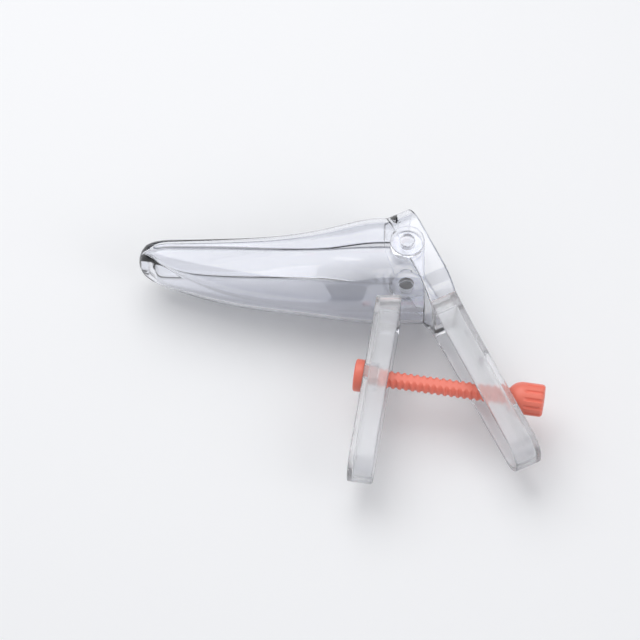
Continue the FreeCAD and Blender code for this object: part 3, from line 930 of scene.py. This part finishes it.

# %% [markdown]
# ## Onto the construction
#
# Each moulding rides on the body of the construction that it belongs to and stands for the
# node that it dresses. The table also lists the slot of its finish, which nothing here
# reads. The screw rod is keyed in the front handle, so it rides on the lower valve.

# %% Bodies and slots
PLACES = {"lower_valve": (lower, "lower_valve", "clear_plastic"),
          "upper_valve": (upper, "upper_valve", "clear_plastic"),
          "screw_rod": (rod, "lower_valve", "coral_plastic"),
          "thumb_nut": (nut, "thumb_nut", "coral_plastic")}
for node, (piece, body, slot) in PLACES.items():
    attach(piece, body)
    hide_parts(node)
    print(piece.name, "stands for", node)

# %% [markdown]
# ## Floor
#
# The floor is a plain pale sheet of paper at the height that the part lies on. It is
# wide enough to fill the view from any side that looks down on the part.

# %% Paper floor
FLOOR_REACH = 3.0


def make_floor():
    """One wide pale square at height 0."""
    reach = FLOOR_REACH
    corners = [(-reach, -reach, 0), (reach, -reach, 0), (reach, reach, 0), (-reach, reach, 0)]
    mesh = bpy.data.meshes.new("floor")
    mesh.from_pydata(corners, [], [(0, 1, 2, 3)])
    floor = bpy.data.objects.new("floor", mesh)
    bpy.context.scene.collection.objects.link(floor)
    material, tree = new_material("paper_sweep_white")
    shader = add_node(tree, "ShaderNodeBsdfPrincipled",
                      {"Base Color": linear(PAPER_WHITE), "Roughness": 0.7})
    add_node(tree, "ShaderNodeOutputMaterial", links={"Surface": shader.outputs["BSDF"]})
    mesh.materials.append(material)
    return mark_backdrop(floor)


make_floor()
print("the floor is", 2 * FLOOR_REACH, "m wide")

# %% [markdown]
# ## World
#
# Clear plastic shows by what it bends and mirrors, so the studio is a bright ceiling over
# a darker horizon: walls that face sideways pick up the grey and draw the outline, and
# the rest stays bright. The camera itself sees a plain pale backdrop.

# %% Studio world
HORIZON = (0.02, "#8B8EA2")
CEILING = (0.55, "#F6F6F8")
STUDIO_STRENGTH = 0.68
world = bpy.data.worlds.new("studio")
bpy.context.scene.world = world
world.use_nodes = True
tree = world.node_tree
tree.nodes.clear()
spot = add_node(tree, "ShaderNodeTexCoord")
axes = add_node(tree, "ShaderNodeSeparateXYZ", links={"Vector": spot.outputs["Generated"]})
ramp = add_node(tree, "ShaderNodeValToRGB", links={"Fac": axes.outputs["Z"]})
for stop, (height, colour) in zip(ramp.color_ramp.elements, (HORIZON, CEILING)):
    stop.position = height
    stop.color = linear(colour)
studio = add_node(tree, "ShaderNodeBackground", {"Strength": STUDIO_STRENGTH},
                  {"Color": ramp.outputs["Color"]})
plain = add_node(tree, "ShaderNodeBackground", {"Color": linear(PAPER_WHITE), "Strength": 1.0})
rays = add_node(tree, "ShaderNodeLightPath")
mix = add_node(tree, "ShaderNodeMixShader",
               links={0: rays.outputs["Is Camera Ray"], 1: studio.outputs["Background"],
                      2: plain.outputs["Background"]})
add_node(tree, "ShaderNodeOutputWorld", links={"Surface": mix.outputs["Shader"]})
print("the horizon is", HORIZON[1], "and the ceiling", CEILING[1])

# %% [markdown]
# ## Lamps
#
# Two large soft squares light the part, as in a light tent: a big one over it, a little
# behind, and a smaller one from the side of the handles. Their places are in metres.

# %% Soft lamps
def aim(thing, place, target):
    """Put a lamp or camera at a place and turn it to look at a target."""
    thing.location = place
    look = Vector(target) - Vector(place)
    thing.rotation_euler = look.to_track_quat("-Z", "Y").to_euler()


CENTRE = (-40.2 * MM, -29.2 * MM, 23.5 * MM)
LAMPS = {"ceiling": {"place": (-0.25, 0.35, 0.9), "size": 0.9, "watts": 4.6},
         "side": {"place": (0.8, -0.5, 0.7), "size": 0.6, "watts": 1.55}}
for name, facts in LAMPS.items():
    lamp = bpy.data.lights.new(name, "AREA")
    lamp.size = facts["size"]
    lamp.energy = facts["watts"]
    holder = bpy.data.objects.new(name, lamp)
    bpy.context.scene.collection.objects.link(holder)
    aim(holder, facts["place"], CENTRE)
    print(name, "lamp of", facts["watts"], "W")

# %% [markdown]
# ## Camera
#
# The photograph was taken from the front, looking down at about 61 degrees, with a long
# lens: sizes hardly change with distance in it. So the lens here is long too, and the
# camera's distance follows from the width that it should see.

# %% Camera
ELEVATION = math.radians(61)
VIEW_WIDTH = 295 * MM
LENS = 300.0
SENSOR = 36.0
camera_data = bpy.data.cameras.new("camera")
camera_data.lens = LENS
camera_data.sensor_width = SENSOR
distance = VIEW_WIDTH * LENS / SENSOR
camera = bpy.data.objects.new("camera", camera_data)
bpy.context.scene.collection.objects.link(camera)
aim(camera, (CENTRE[0], CENTRE[1] - distance * math.cos(ELEVATION),
             CENTRE[2] + distance * math.sin(ELEVATION)), CENTRE)
bpy.context.scene.camera = camera
bpy.context.scene.view_settings.view_transform = "Standard"
print("camera stands off", round(distance, 3), "m")
